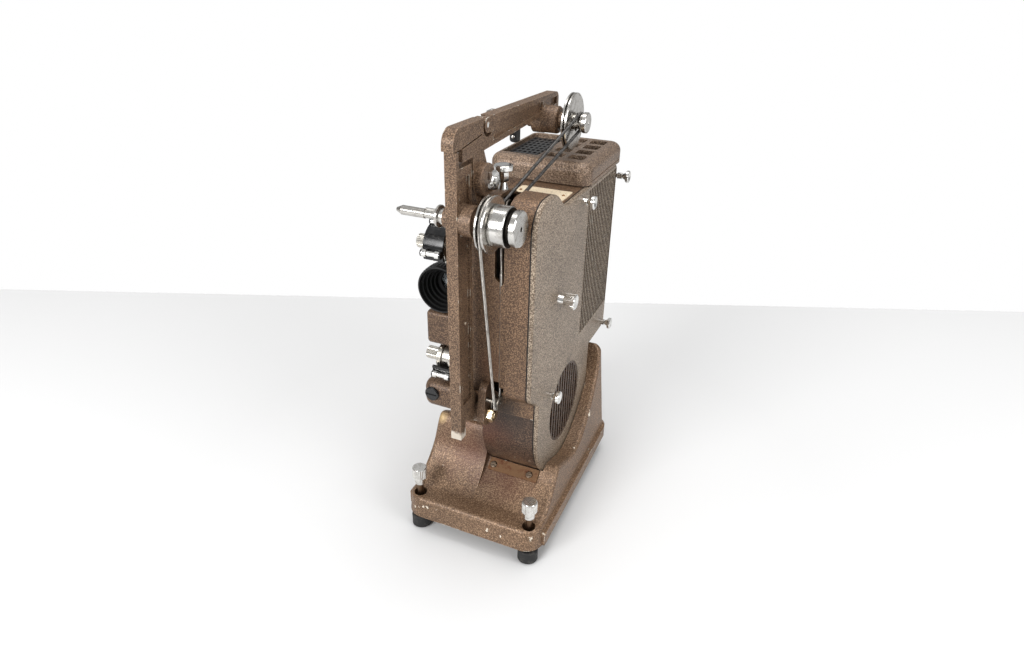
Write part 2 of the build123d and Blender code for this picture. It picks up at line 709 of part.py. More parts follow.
def arm_bracket():
    """The fixed root of the upper arm: boss, lug, slit and the knuckle's first ear."""
    z_low = top_z - 17
    front = arm_y0 - 4
    line = [
        Polyline((front, z_low), (front, top_z - 13)),
        TangentArc((front, top_z - 13), (front + 12, top_z - 1), tangent=(0, 1)),
        Polyline((front + 12, top_z - 1), (bracket_end, top_z - 1.5), (bracket_end, 388),
                 (20, 387), (2.6, 386.8), (2.6, z_low), (front, z_low)),
    ]
    outline = make_face(line) + link(boss_at, boss_r, (bracket_end - 12, 392), 8.5)
    outline += link(boss_at, boss_r, (boss_at[0] + 4, hump_z - 6), 9)
    outline -= body_outline(case_rear)
    body = prism_x(outline, arm_x0, arm_x1)
    # Saw cut between the flange and the lug, seen on the right face.
    cut = make_face(Polyline((2, z_low - 0.6), (36, z_low + 3.4), (36, z_low + 4.6), (2, z_low + 0.6),
                             (2, z_low - 0.6)))
    body -= prism_x(cut, arm_x1 - 2.5, arm_x1 + 1)
    boss = fillet(rod_x(arm_x1 - 2, 5, boss_at, boss_r - 0.7).edges().sort_by(Axis.X)[-1], 1)
    body += boss - prism_x(body_outline(case_rear), arm_x0 - 5, 20)
    body -= rod_x(-20, 20, boss_at, spindle_r)
    # Knuckle: the root keeps the left half.
    pin = (bracket_end + knuckle_r + 1, top_z - 2 - knuckle_r)
    half_x = (arm_x0 + arm_x1) / 2
    ear = link(pin, knuckle_r, (bracket_end - 4, pin[1]), knuckle_r)
    body -= prism_x(disc(pin, knuckle_r + 3), arm_x0 - 1, arm_x1 + 1)
    body += prism_x(ear, arm_x0, half_x - 0.15)
    return body - rod_x(arm_x0 - 1, arm_x1 + 1, pin, 2)


def root_fasteners():
    """The large nut and bolt in the boss, and the pin of the upper arm's knuckle."""
    nut = hex_nut(5, 12, boss_at, 15)
    bolt = rod_x(arm_x0 - 3, 13, boss_at, spindle_r)
    head = rod_x(arm_x0 - 4, arm_x0, boss_at, 8)
    pin = (bracket_end + knuckle_r + 1, top_z - 2 - knuckle_r)
    knuckle = rod_x(arm_x0, arm_x1 - 0.2, pin, 2) + rod_x(arm_x0 - 1.5, arm_x0, pin, 3.6)
    return nut + bolt + chamfer(head.edges().sort_by(Axis.X)[0], 1) + knuckle


def upper_arm():
    """The upper spool arm: tapered channel, knuckle ear and the spindle's long bearing."""
    start = bracket_end + fit_gap
    pin = (bracket_end + knuckle_r + 1, top_z - 2 - knuckle_r)
    half_x = (arm_x0 + arm_x1) / 2
    line = [
        Polyline((start, 388), (start, top_z - 1.5), (arm_end - 7, end_top_z)),
        TangentArc((arm_end - 7, end_top_z), (arm_end, end_top_z - 6), tangent=(1, -0.03)),
        Polyline((arm_end, end_top_z - 6), (arm_end, end_low_z), (start, 388)),
    ]
    outline = make_face(line) + link(supply_at, 13, (supply_at[0] + 2, 398), 11)
    body = prism_x(outline, arm_x0, arm_x1)
    pocket = make_face(Polyline((start + 16, 393), (start + 16, top_z - 7), (arm_end - 5, end_top_z - 4.5),
                                (arm_end - 5, end_low_z + 3.5), (start + 16, 393)))
    pocket -= link(supply_at, 13, (supply_at[0] + 2, 398), 11)
    body -= prism_x(pocket, arm_x1 - 2.5, arm_x1 + 1)
    body -= prism_x(disc(pin, knuckle_r + 3), arm_x0 - 1, arm_x1 + 1)
    body -= box(arm_x0 - 1, arm_x1 + 1, start - 1, pin[0], pin[1], top_z)
    body += prism_x(link(pin, knuckle_r, (pin[0] + 13, pin[1]), knuckle_r), half_x + 0.15, arm_x1)
    body -= rod_x(arm_x0 - 1, arm_x1 + 1, pin, 2 + run_gap)
    bearing = rod_x(arm_x1 - 1, 14, supply_at, 12.5)
    bearing = fillet(bearing.edges().sort_by(Axis.X)[-1], 3)
    body += bearing + rod_x(13, 22, supply_at, 7.5) + rod_x(arm_x0 - 6, arm_x0 + 1, supply_at, 8.5)
    return body - rod_x(-40, 40, supply_at, spindle_r + run_gap)


def arm_buffer():
    """The rubber buffer under the upper arm, with its small metal stud."""
    y = 112
    buffer = rod_z(379, 390.6, (arm_x0 + arm_x1) / 2, y, 4.6)
    return fillet(buffer.edges().sort_by(Axis.Z)[0], 2.5)


def lower_arm():
    """The lower spool arm, folded upright: channel bar, narrow tail, pivot lug and bearing."""
    shoulder = arm_top - 13
    bar = rect(arm_y0, arm_y1, 160, shoulder) + rect(arm_y0, arm_y0 + 9, arm_tail, 162)
    bar += rect(arm_y0, arm_y0 + 4, shoulder - 1, arm_top)
    web = make_hull((disc(low_pivot, 10) + disc((11, 176), 6) + disc((3, 158), 4)).edges())
    body = prism_x(bar + web, arm_x0, arm_x1)
    pocket = rect(arm_y0 + 4.5, arm_y1 - 4, 172, shoulder - 8) - disc(takeup_at, 13)
    body -= prism_x(pocket, arm_x1 - 2.5, arm_x1 + 1)
    body += rod_x(arm_x1 - 1, ear_x0 - 0.4, low_pivot, 10)
    body += rod_x(arm_x1 - 1, 9, takeup_at, 12.5) + rod_x(8, 16, takeup_at, 7.5)
    body += rod_x(arm_x0 - 6, arm_x0 + 1, takeup_at, 8.5)
    body -= rod_x(-40, 40, takeup_at, spindle_r + run_gap)
    return body - rod_x(-20, 20, low_pivot, spindle_r + run_gap)


def low_pivot_bolt():
    """The lower arm's pivot bolt with its hexagon nut against the ear."""
    bolt = rod_x(arm_x0 - 0.2, 17, low_pivot, spindle_r)
    head = rod_x(arm_x0 - 3.2, arm_x0 - 0.2, low_pivot, 7.5)
    return bolt + hex_nut(ear_x1, ear_x1 + 6, low_pivot, 14) + chamfer(
        head.edges().sort_by(Axis.X)[0], 1)


def spindle(at, end):
    """A spool spindle: tip, spool seat, undercut neck with a key, flange and shaft to the pulleys."""
    shaft = rod_x(arm_x0 - 12, end, at, spindle_r)
    nose = rod_x(spindle_tip + 5, spool_seat_x, at, spool_r)
    neck = rod_x(spool_seat_x - 0.5, arm_x0 - 11, at, spool_r - 0.5)
    tip = cone_x(spindle_tip, spindle_tip + 5, at, 1.6, spool_r)
    seat = chamfer(rod_x(arm_x0 - 13, arm_x0 - 10.5, at, 9).edges(), 0.5)
    hub = rod_x(arm_x0 - 10.5, arm_x0 - 6.3, at, 6.5)
    key = box(spool_seat_x + 0.5, arm_x0 - 12.8, at[0] - 0.8, at[0] + 0.8, at[1], at[1] + 5)
    return shaft + nose + neck + tip + seat + hub + key


def belt_pulley(x0, x1, at, rim_r, floor_r, bore_r, rim_t=1.7):
    """A turned pulley: two rims and the belt groove between them."""
    body = chamfer(rod_x(x0, x1, at, rim_r).edges(), 0.4)
    groove = rod_x(x0 + rim_t, x1 - rim_t, at, rim_r + 1) - rod_x(x0, x1, at, floor_r)
    return body - groove - rod_x(x0 - 1, x1 + 1, at, bore_r)


def takeup_pulley():
    """The take-up pulley: two thin flanges with the belt groove between them."""
    return belt_pulley(17, 24.3, takeup_at, pulley_r, pulley_r - 4, spindle_r)


def takeup_knob():
    """The take-up clutch hub and end knob, parted by a dark groove."""
    hub = chamfer(rod_x(24.4, 38, takeup_at, 16.3).edges(), 0.8)
    knob = chamfer(rod_x(41, 46.5, takeup_at, 14.5).edges(), 0.8)
    body = hub + rod_x(37, 42, takeup_at, 12.8) + knob
    body -= cone_x(45.6, 46.6, takeup_at, 1.2, 2.2)
    return body - rod_x(24, 40, takeup_at, spindle_r)


def supply_pulley():
    """The supply spindle's large thin pulley with a small belt pulley beside it."""
    body = belt_pulley(23, 28.2, supply_at, disc_r, 12, spindle_r)
    body += rod_x(28, 30, supply_at, 7) - rod_x(20, 40, supply_at, spindle_r)
    return body + belt_pulley(29.7, 36, supply_at, 8.6, 6.2, spindle_r, 0.7)


def supply_knob():
    """The supply spindle's end knob."""
    knob = chamfer(rod_x(36.1, 41, supply_at, 9.3).edges(), 0.8)
    knob -= cone_x(40.2, 41.1, supply_at, 1.0, 2.0)
    return knob - rod_x(35, 38, supply_at, spindle_r)


def drive_pulley(at, x0, x1, shaft_x, rim_r):
    """A small drive pulley and its shaft."""
    return belt_pulley(x0, x1, at, rim_r, rim_r - 2.2, 1.9, 0.9) + rod_x(shaft_x, x1 + 1, at, 2)


def belt(x_a, at_a, r_a, x_b, at_b, r_b):
    """A closed round belt in the plane of its two pulleys: two straight runs and two arcs."""
    a = Vector(x_a, *at_a)
    b = Vector(x_b, *at_b)
    along = (b - a).normalized()
    across = Vector(1, 0, 0).cross(along).normalized()
    far = (b - a).length
    outer = make_hull((Circle(r_a + belt_r) + Pos(far, 0) * Circle(r_b + belt_r)).edges())
    inner = make_hull((Circle(r_a - belt_r) + Pos(far, 0) * Circle(r_b - belt_r)).edges())
    body = extrude(outer - inner, amount=belt_r, both=True)
    body = chamfer(body.edges().filter_by(lambda e: abs(e.center().Z) > belt_r * 0.9), belt_r * 0.55)
    return Plane(origin=a, x_dir=along, z_dir=along.cross(across)).location * body


def top_thumb_screw():
    """The upright screw on top of the body: flat head, hexagon and coned foot."""
    x, y = top_screw
    screw = rod_z(hump_z - 8, hump_z + 15, x, y, 2.1)
    screw += Pos(x, y, hump_z + 3) * Cone(4.6, 2.6, 6)
    screw += Pos(x, y, hump_z + 6) * extrude(RegularPolygon(4.6, 6), amount=8)
    head = fillet(rod_z(hump_z + 15, hump_z + 20, x, y, 8).edges(), 1.2)
    return screw + head


def gear_case():
    """The closed gear case inside the body, which carries the pulley and sprocket shafts."""
    case = box(case_x0 + wall, 9.5, case_front + recess + wall, 76, 184, 325)
    case = fillet(case.edges().filter_by(Axis.X), 4)
    case += prism_x(link(drive_top, 3.6, (48, 318), 7), 2, 9.5)
    for at in (upper_at, lower_at):
        case -= rod_x(case_x0, case_x0 + wall + 8, at, 3 + run_gap)
    return case - rod_x(0, 12, drive_top, 2 + run_gap)


def build():
    """Model every node and write it."""
    save("base", base())
    for name, x in (("left", -tilt_x), ("right", tilt_x)):
        save("tilt_screw_" + name, tilt_screw(x))
        save("tilt_foot_" + name, tilt_foot(x))
    save("rear_feet", rear_feet())
    save("drum_clamp", bracket())
    save("drum_clamp_screws", bracket_screws())
    save("casing", casing())
    save("blower_drum", blower_drum())
    save("side_cover", side_cover())
    save("grille", grille())
    for name, at in zip(("top", "rear", "low"), screw_places):
        save("cover_screw_" + name, cover_screw(at, case_x1 - 11))
    save("cover_screw_back", cover_screw(rear_screw_at, case_x1 - 11))
    save("clamp_knob", clamp_knob())
    save("nameplate", nameplate())
    save("impeller", impeller())
    save("motor_housing", motor_housing())
    save("brush_cap", brush_cap())
    save("lamp_house", lamp_house())
    save("lamp_cap", lamp_cap())
    save("cap_screen", cap_screen())
    save("lamp", lamp())
    save("lamp_socket", lamp_socket())
    save("reflector", reflector())
    save("condenser", condenser())
    save("gate_body", gate_body())
    save("lens_mount", lens_mount())
    save("pressure_plate", pressure_plate())
    save("lens_barrel", lens_barrel())
    save("lens_glass", lens_glass())
    save("keeper_studs", keeper_studs())
    for name, at, pivot, start, turn in keepers:
        save(name + "_sprocket", sprocket(at))
        save(name + "_keeper", keeper(at, pivot, start, turn))
        save(name + "_roller_a", keeper_roller(at, start + turn * roller_places[0]))
        save(name + "_roller_b", keeper_roller(at, start + turn * roller_places[1]))
    save("arm_bracket", arm_bracket())
    save("root_fasteners", root_fasteners())
    save("upper_arm", upper_arm())
    save("arm_buffer", arm_buffer())
    save("supply_spindle", spindle(supply_at, 37.9))
    save("supply_pulley", supply_pulley())
    save("supply_knob", supply_knob())
    save("supply_belt", belt(32.85, supply_at, 6.4 + belt_r, 19.5, drive_top, 4.5 + belt_r))
    save("supply_drive_pulley", drive_pulley(drive_top, 16.2, 22.8, 3, 6.5))
    save("lower_arm", lower_arm())
    save("low_pivot_bolt", low_pivot_bolt())
    save("takeup_spindle", spindle(takeup_at, 39.9))
    save("takeup_pulley", takeup_pulley())
    save("takeup_knob", takeup_knob())
    save("takeup_belt", belt(20.65, takeup_at, pulley_r - 3.95 + belt_r, 20.65, drive_low, 4.65 + belt_r))
    save("takeup_drive_pulley", drive_pulley(drive_low, 17.4, 23.9, ear_x0 + 1, 6.8))
    save("top_thumb_screw", top_thumb_screw())
    save("gear_case", gear_case())


build()
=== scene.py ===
"""A small cine projector with folding spool arms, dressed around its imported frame. Metres, +Z up.
The lens looks along -Y, the ribbed side cover is on +X and the film path on -X."""
import bpy
import bmesh
import numpy as np
from math import cos, pi, radians, sin
from mathutils import Matrix, Vector


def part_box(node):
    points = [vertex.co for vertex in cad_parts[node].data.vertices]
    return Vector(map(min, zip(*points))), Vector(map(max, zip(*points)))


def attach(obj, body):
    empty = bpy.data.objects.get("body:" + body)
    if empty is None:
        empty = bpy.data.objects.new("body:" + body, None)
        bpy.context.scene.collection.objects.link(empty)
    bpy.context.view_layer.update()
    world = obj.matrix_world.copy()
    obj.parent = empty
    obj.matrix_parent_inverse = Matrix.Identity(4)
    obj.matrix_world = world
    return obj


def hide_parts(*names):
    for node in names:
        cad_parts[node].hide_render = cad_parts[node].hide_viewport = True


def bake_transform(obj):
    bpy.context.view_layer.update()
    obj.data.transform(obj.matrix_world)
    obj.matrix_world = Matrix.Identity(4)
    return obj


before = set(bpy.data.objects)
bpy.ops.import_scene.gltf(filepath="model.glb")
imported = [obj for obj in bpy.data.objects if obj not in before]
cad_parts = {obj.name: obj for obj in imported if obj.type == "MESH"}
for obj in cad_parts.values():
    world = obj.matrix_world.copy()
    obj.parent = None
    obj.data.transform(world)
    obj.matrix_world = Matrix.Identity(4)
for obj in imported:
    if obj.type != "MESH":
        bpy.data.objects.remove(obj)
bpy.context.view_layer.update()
scene = bpy.context.scene
scene.view_settings.view_transform = "Standard"


# Table and light. A white laminate table top under three soft lamps, above, to the right and in
# front, in a white room that only the camera sees at full strength. The table's colour is painted
# lighter away from the middle, painted light that evens out the lamps' fall-off.
def linear(red, green, blue):
    """A colour as a screen shows it, 0 to 255, made linear for a shader."""
    parts = [c / 255 for c in (red, green, blue)]
    return tuple(p / 12.92 if p < 0.04045 else ((p + 0.055) / 1.055) ** 2.4 for p in parts) + (1,)


def node(tree, kind, inputs=None, **settings):
    """Adds a shader node, sets what it is, and joins or sets its inputs by name or number."""
    made = tree.nodes.new("ShaderNode" + kind)
    for key, value in settings.items():
        setattr(made, key, value)
    for key, value in (inputs or {}).items():
        if isinstance(value, bpy.types.NodeSocket):
            tree.links.new(value, made.inputs[key])
        else:
            made.inputs[key].default_value = value
    return made


def calc(tree, operation, *values):
    """A sum, a product or the like of one to three values."""
    return node(tree, "Math", dict(enumerate(values)), operation=operation).outputs[0]


def ramp(tree, value, start, end, low=0.0, high=1.0):
    """A number that goes evenly from low to high while a value goes from start to end."""
    return node(tree, "MapRange", {"Value": value, "From Min": start, "From Max": end,
                                   "To Min": low, "To Max": high}).outputs[0]


def mix(tree, share, under, over):
    """A colour between two others: the first where the share is 0, the second where it is 1."""
    return node(tree, "Mix", {0: share, 6: under, 7: over}, data_type="RGBA").outputs[2]


def new_material(name):
    """An empty material: its tree and the place on the object that is being shaded."""
    material = bpy.data.materials.new(name)
    material.use_nodes = True
    tree = material.node_tree
    tree.nodes.clear()
    return material, tree, node(tree, "TexCoord").outputs["Object"]


def principled(tree, inputs):
    """Ends a material with one principled shader."""
    shader = node(tree, "BsdfPrincipled", inputs)
    node(tree, "OutputMaterial", {"Surface": shader.outputs[0]})


def table_top():
    """An oblong set square to the camera's view: corners at steps along the view and across it."""
    along, across = Vector((-0.391, 0.920, 0)), Vector((0.920, 0.391, 0))
    under_camera = Vector((0.236, -0.574, 0))
    corners = [under_camera + along * a + across * b
               for a, b in ((-1, -2), (-1, 2), (1.08, 2), (1.08, -2))]
    mesh = bpy.data.meshes.new("table_top")
    mesh.from_pydata(corners, [], [(0, 1, 2, 3)])
    top = bpy.data.objects.new("table_top", mesh)
    scene.collection.objects.link(top)
    white, tree, place = new_material("white_laminate_painted_light")
    # Painted light: the laminate grows lighter with distance from the middle, where less lamp light
    # reaches.
    away = node(tree, "VectorMath", {0: place}, operation="LENGTH").outputs["Value"]
    tone = mix(tree, ramp(tree, away, 0.35, 1.2), (0.66, 0.66, 0.66, 1), (0.84, 0.84, 0.84, 1))
    principled(tree, {"Base Color": tone, "Roughness": 0.5, "Specular IOR Level": 0.25})
    mesh.materials.append(white)


def room_light():
    """The world: white to the camera and through glass. To the rest it is graded from a darker
    floor line up to a bright ceiling, and lighter again below the floor."""
    world = bpy.data.worlds.new("white_room")
    scene.world = world
    world.use_nodes = True
    tree = world.node_tree
    tree.nodes.clear()
    direction = node(tree, "TexCoord").outputs["Generated"]
    height = node(tree, "SeparateXYZ", {0: direction}).outputs["Z"]
    above = ramp(tree, height, -0.1, 0.8, 0.24, 0.62)
    below = ramp(tree, height, -0.02, -0.1, 0.0, 0.5)
    grade = calc(tree, "ADD", above, below)
    rays = node(tree, "LightPath").outputs
    sees = calc(tree, "MAXIMUM", rays["Is Camera Ray"], rays["Is Transmission Ray"])
    strength = node(tree, "Mix", {0: sees, 2: grade, 3: 1.0})
    back = node(tree, "Background", {"Color": (1, 1, 1, 1), "Strength": strength.outputs[0]})
    node(tree, "OutputWorld", {"Surface": back.outputs[0]})


def soft_box(name, place, aim, size, watts):
    """A square lamp at a place, turned to face a point."""
    data = bpy.data.lights.new(name, "AREA")
    data.shape = "SQUARE"
    data.size = size
    data.energy = watts
    lamp = bpy.data.objects.new(name, data)
    scene.collection.objects.link(lamp)
    lamp.location = place
    lamp.rotation_euler = (Vector(aim) - Vector(place)).to_track_quat("-Z", "Y").to_euler()


table_top()
room_light()
middle = (0, 0, 0.2)
soft_box("ceiling_box", (0.1, 0.1, 1.7), middle, 1.1, 17)
soft_box("right_box", (1.35, -0.45, 0.85), middle, 0.7, 10)
soft_box("front_box", (-0.45, -1.5, 0.9), middle, 0.7, 23)


# Camera. It stands high in front of the machine's right side and looks down on it, turned a
# little about its own axis, with the lens that the photograph's perspective gives.
def photographer(place, azimuth, elevation, roll, focal):
    """The camera from its place and three angles: right and up vectors turned by the roll."""
    a, e, r = radians(azimuth), radians(elevation), radians(roll)
    back = Vector((sin(a) * cos(e), -cos(a) * cos(e), sin(e)))
    level = (-back).cross(Vector((0, 0, 1))).normalized()
    upright = level.cross(-back)
    right = level * cos(r) + upright * sin(r)
    up = upright * cos(r) - level * sin(r)
    data = bpy.data.cameras.new("camera")
    data.sensor_width = 36
    data.lens = focal
    data.clip_start = 0.02
    data.clip_end = 20
    camera = bpy.data.objects.new("camera", data)
    scene.collection.objects.link(camera)
    camera.matrix_world = Matrix((right, up, back)).transposed().to_4x4()
    camera.location = place
    scene.camera = camera


photographer((0.23562, -0.57406, 0.52244), 23.039, 28.256, 1.253, 24.447)


# Base casting. Sand-cast aluminium with a rim, a swept ramp and a saddle, sprayed with bronze
# hammer enamel that pulls into small dimples. Its rim and lip are knocked and chipped.
def effect(name, inputs, outputs):
    """A shader group from the names of its inputs and outputs and the kind of each. Gives the group,
    the sockets that it is given and the sockets that it fills."""
    group = bpy.data.node_groups.new(name, "ShaderNodeTree")
    for side, sockets in (("INPUT", inputs), ("OUTPUT", outputs)):
        for label, kind in sockets.items():
            group.interface.new_socket(label, in_out=side, socket_type="NodeSocket" + kind)
    return group, group.nodes.new("NodeGroupInput").outputs, group.nodes.new("NodeGroupOutput").inputs


def use(tree, group, inputs):
    """Places an effect in a material with its own values, and gives its outputs."""
    return node(tree, "Group", inputs, node_tree=group).outputs


def bumps(tree, strength, depth, height, invert=False):
    """The shading normal of a surface with fine bumps, or with dimples if inverted."""
    return node(tree, "Bump", {"Strength": strength, "Distance": depth, "Height": height},
                invert=invert).outputs[0]


def noise(tree, place, scale, detail=2.0, roughness=0.5):
    """Soft noise from 0 to 1."""
    return node(tree, "TexNoise", {"Vector": place, "Scale": scale, "Detail": detail,
                                   "Roughness": roughness}).outputs["Fac"]


def hammer_effect():
    """Hammer enamel: round dimples from a smooth cell pattern, light in the middle of each cell and
    dark in the net between cells, broken by fine grain and by slow changes of tone."""
    tree, given, result = effect(
        "hammer_enamel",
        {"Vector": "Vector", "Net": "Color", "Body": "Color", "Fleck": "Color", "Cells": "Float"},
        {"Color": "Color", "Height": "Float", "Roughness": "Float"})
    place = given["Vector"]
    wander = node(tree, "TexNoise", {"Vector": place, "Scale": 420.0, "Detail": 1.0})
    pull = node(tree, "VectorMath", {0: wander.outputs["Color"], "Scale": 0.0022}, operation="SCALE")
    moved = node(tree, "VectorMath", {0: place, 1: pull.outputs[0]}, operation="ADD")
    cells = node(tree, "TexVoronoi", {"Vector": moved.outputs[0], "Scale": given["Cells"],
                                      "Smoothness": 0.7}, feature="SMOOTH_F1").outputs["Distance"]
    grain = noise(tree, place, 1900.0)
    broad = noise(tree, place, 16.0, 3.0)
    spread = ramp(tree, calc(tree, "MULTIPLY_ADD", grain, 0.55, cells), 0.40, 0.86)
    light = mix(tree, ramp(tree, spread, 0.0, 0.5), given["Fleck"], given["Body"])
    both = mix(tree, ramp(tree, spread, 0.45, 1.0), light, given["Net"])
    slow = ramp(tree, broad, 0.3, 0.7, 0.86, 1.12)
    toned = node(tree, "Mix", {0: 1.0, 6: both, 7: slow}, data_type="RGBA", blend_type="MULTIPLY")
    tree.links.new(toned.outputs[2], result["Color"])
    tree.links.new(cells, result["Height"])
    tree.links.new(ramp(tree, grain, 0.3, 0.7, 0.34, 0.52), result["Roughness"])
    return tree


def edge_effect():
    """Edge wear: how far a rounded normal leans from the true one, which is large beside an edge.
    Rub is the whole soft band, Chip is where a blotchy pattern breaks through it."""
    tree, given, result = effect(
        "edge_wear", {"Vector": "Vector", "Width": "Float", "Chips": "Float"},
        {"Rub": "Float", "Chip": "Float"})
    rounded = node(tree, "Bevel", {"Radius": given["Width"]}, samples=4)
    true = node(tree, "NewGeometry").outputs["Normal"]
    along = node(tree, "VectorMath", {0: rounded.outputs[0], 1: true}, operation="DOT_PRODUCT")
    lean = ramp(tree, along.outputs["Value"], 0.995, 0.85)
    blotch = noise(tree, given["Vector"], 70.0, 5.0, 0.65)
    share = calc(tree, "SUBTRACT", given["Chips"], ramp(tree, blotch, 0.66, 0.56))
    broken = calc(tree, "MULTIPLY", lean, share)
    tree.links.new(lean, result["Rub"])
    tree.links.new(ramp(tree, broken, 0.05, 0.25), result["Chip"])
    return tree


hammer_enamel = hammer_effect()
edge_wear = edge_effect()
bare_metal = linear(205, 198, 184)
seam_dirt = linear(24, 19, 16)


def stain_at(tree, place, centre, reach):
    """A mask that is 1 at a point and fades out over a reach. Noise pushes its edge in and out, far
    more for a small chip, which also gets a sharp edge."""
    small = reach < 0.008
    scale, strength, outer, inner = (1.1 / reach, 3.0, 2.05, 1.85) if small else (60.0, 1.2, 1.55, 0.7)
    away = node(tree, "VectorMath", {0: place, 1: centre}, operation="DISTANCE").outputs["Value"]
    pushed = calc(tree, "MULTIPLY_ADD", noise(tree, place, scale, 4.0), reach * strength, away)
    return ramp(tree, pushed, reach * outer, reach * inner)


def enamelled(name, net, body, fleck, cells, chips, width, stains=(), seam=None):
    """Hammer enamel on a casting: enamel colours, worn edges, stains as (centre, reach, colour, share),
    and a dirty seam at an X value."""
    material, tree, place = new_material(name)
    enamel = use(tree, hammer_enamel, {"Vector": place, "Net": net, "Body": body, "Fleck": fleck,
                                       "Cells": cells})
    wear = use(tree, edge_wear, {"Vector": place, "Width": width, "Chips": chips})
    colour = enamel["Color"]
    for centre, reach, tint, share in stains:
        part = calc(tree, "MULTIPLY", stain_at(tree, place, centre, reach), share)
        colour = mix(tree, part, colour, tint)
    colour = mix(tree, calc(tree, "MULTIPLY", wear["Rub"], 0.35), colour, fleck)
    colour = mix(tree, wear["Chip"], colour, bare_metal)
    if seam is not None:
        x = node(tree, "SeparateXYZ", {0: place}).outputs["X"]
        away = calc(tree, "ABSOLUTE", calc(tree, "SUBTRACT", x, seam))
        colour = mix(tree, ramp(tree, away, 0.0009, 0.0004), colour, seam_dirt)
    principled(tree, {"Base Color": colour, "Roughness": enamel["Roughness"], "Metallic": 0.28,
                      "Normal": bumps(tree, 0.5, 0.0004, enamel["Height"], invert=True)})
    return material


def dress(material, *names):
    """Gives CAD nodes a finish."""
    for name in names:
        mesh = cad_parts[name].data
        mesh.materials.clear()
        mesh.materials.append(material)


rust = linear(96, 52, 34)
# A dark brown used for soot, and for painted shade under the casing.
soot_and_shade = linear(40, 31, 26)
chip = linear(232, 222, 204)
bronze = enamelled(
    "bronze_base_enamel", linear(92, 70, 52), linear(130, 103, 79), linear(168, 139, 110), cells=800.0,
    chips=0.8, width=0.0012,
    stains=[((0.02, -0.07, 0.0585), 0.034, rust, 0.5), ((-0.02, -0.063, 0.078), 0.045, rust, 0.6),
            ((-0.006, -0.058, 0.096), 0.024, soot_and_shade, 0.5), ((0.0, -0.072, 0.066), 0.05, soot_and_shade, 0.3),
            ((-0.0625, -0.056, 0.099), 0.008, linear(196, 168, 120), 0.7),
            ((-0.0611, -0.118, 0.0285), 0.0024, chip, 0.9),
            ((-0.0555, -0.1188, 0.031), 0.0016, chip, 0.9),
            ((-0.051, -0.1188, 0.033), 0.0018, chip, 0.8),
            ((-0.0459, -0.1188, 0.034), 0.0026, chip, 0.8),
            ((-0.036, -0.1188, 0.0345), 0.0012, chip, 0.8),
            ((0.0209, -0.119, 0.0305), 0.003, chip, 0.9),
            ((0.0343, -0.1192, 0.0287), 0.0024, chip, 1.0),
            ((0.0641, -0.1157, 0.0335), 0.0032, chip, 0.8),
            ((0.073, -0.1026, 0.033), 0.0024, chip, 0.8),
            ((0.0675, 0.0462, 0.0769), 0.0045, chip, 1.0),
            ((0.0659, 0.0021, 0.0607), 0.0018, chip, 1.0),
            ((-0.0491, -0.0777, 0.0564), 0.0015, chip, 0.9)])
dress(bronze, "base")


# Feet. Moulded black rubber, dusty at the rims. The two in front are pressed on the ends of the
# tilt screws, the two at the rear into the base.
def rubber(name, tone):
    """Black rubber: dull, with pale dust in slow patches and a fine moulded grain."""
    material, tree, place = new_material(name)
    dust = noise(tree, place, 140.0, 6.0, 0.7)
    colour = mix(tree, ramp(tree, dust, 0.5, 0.85), linear(tone, tone, tone), linear(96, 92, 86))
    principled(tree, {"Base Color": colour, "Roughness": ramp(tree, dust, 0.0, 1.0, 0.5, 0.85),
                      "Normal": bumps(tree, 0.25, 0.0002, noise(tree, place, 2200.0))})
    return material


dress(rubber("foot_rubber", 22), "tilt_foot_left", "tilt_foot_right", "rear_feet")


# Tilt screws. Turned steel with knurled heads, plated, dull where the plate has aged and brown on
# the threads. They screw down through the base's two front corners.
def metal_effect():
    """Plated or turned metal: dull clouds where it has aged, and small pits."""
    tree, given, result = effect(
        "turned_metal",
        {"Vector": "Vector", "Bright": "Color", "Dull": "Color", "Gloss": "Float", "Age": "Float"},
        {"Color": "Color", "Roughness": "Float", "Height": "Float"})
    old = ramp(tree, noise(tree, given["Vector"], 170.0, 6.0, 0.7), 0.48, 0.68)
    aged = calc(tree, "MULTIPLY", old, given["Age"])
    tree.links.new(mix(tree, aged, given["Bright"], given["Dull"]), result["Color"])
    tree.links.new(calc(tree, "MULTIPLY_ADD", aged, 0.35, given["Gloss"]), result["Roughness"])
    tree.links.new(noise(tree, given["Vector"], 900.0, 3.0), result["Height"])
    return tree


turned_metal = metal_effect()


def plated(name, bright, dull, gloss, age, pitting=0.12, metallic=1.0):
    """A bare or plated metal with its own brightness, gloss, age and pitting."""
    material, tree, place = new_material(name)
    look = use(tree, turned_metal, {"Vector": place, "Bright": bright, "Dull": dull, "Gloss": gloss,
                                    "Age": age})
    principled(tree, {"Base Color": look["Color"], "Roughness": look["Roughness"], "Metallic": metallic,
                      "Normal": bumps(tree, pitting, 0.0002, look["Height"])})
    return material


def along_axis(tree, place, axis, start, end, ragged=0.0):
    """A mask that climbs from 0 to 1 between two places on an axis, on a ragged line if asked."""
    value = node(tree, "SeparateXYZ", {0: place}).outputs[axis]
    if ragged:
        push = calc(tree, "SUBTRACT", noise(tree, place, 160.0, 4.0), 0.5)
        value = calc(tree, "MULTIPLY_ADD", push, ragged, value)
    return ramp(tree, value, start, end)


def coat(material, masks, tint, roughness=None):
    """Lays a tint, and a roughness if given, over a finish where the product of the masks is 1. Each
    mask is a function that makes it, and the function's values."""
    tree = material.node_tree
    shader = next(n for n in tree.nodes if n.type == "BSDF_PRINCIPLED").inputs
    place = node(tree, "TexCoord").outputs["Object"]
    mask = 1.0
    for make, *values in masks:
        mask = calc(tree, "MULTIPLY", make(tree, place, *values), mask)
    under = shader["Base Color"].links[0].from_socket
    tree.links.new(mix(tree, mask, under, tint), shader["Base Color"])
    if roughness is not None:
        under = shader["Roughness"].links[0].from_socket
        over = node(tree, "Mix", {0: mask, 2: under, 3: roughness})
        tree.links.new(over.outputs[0], shader["Roughness"])


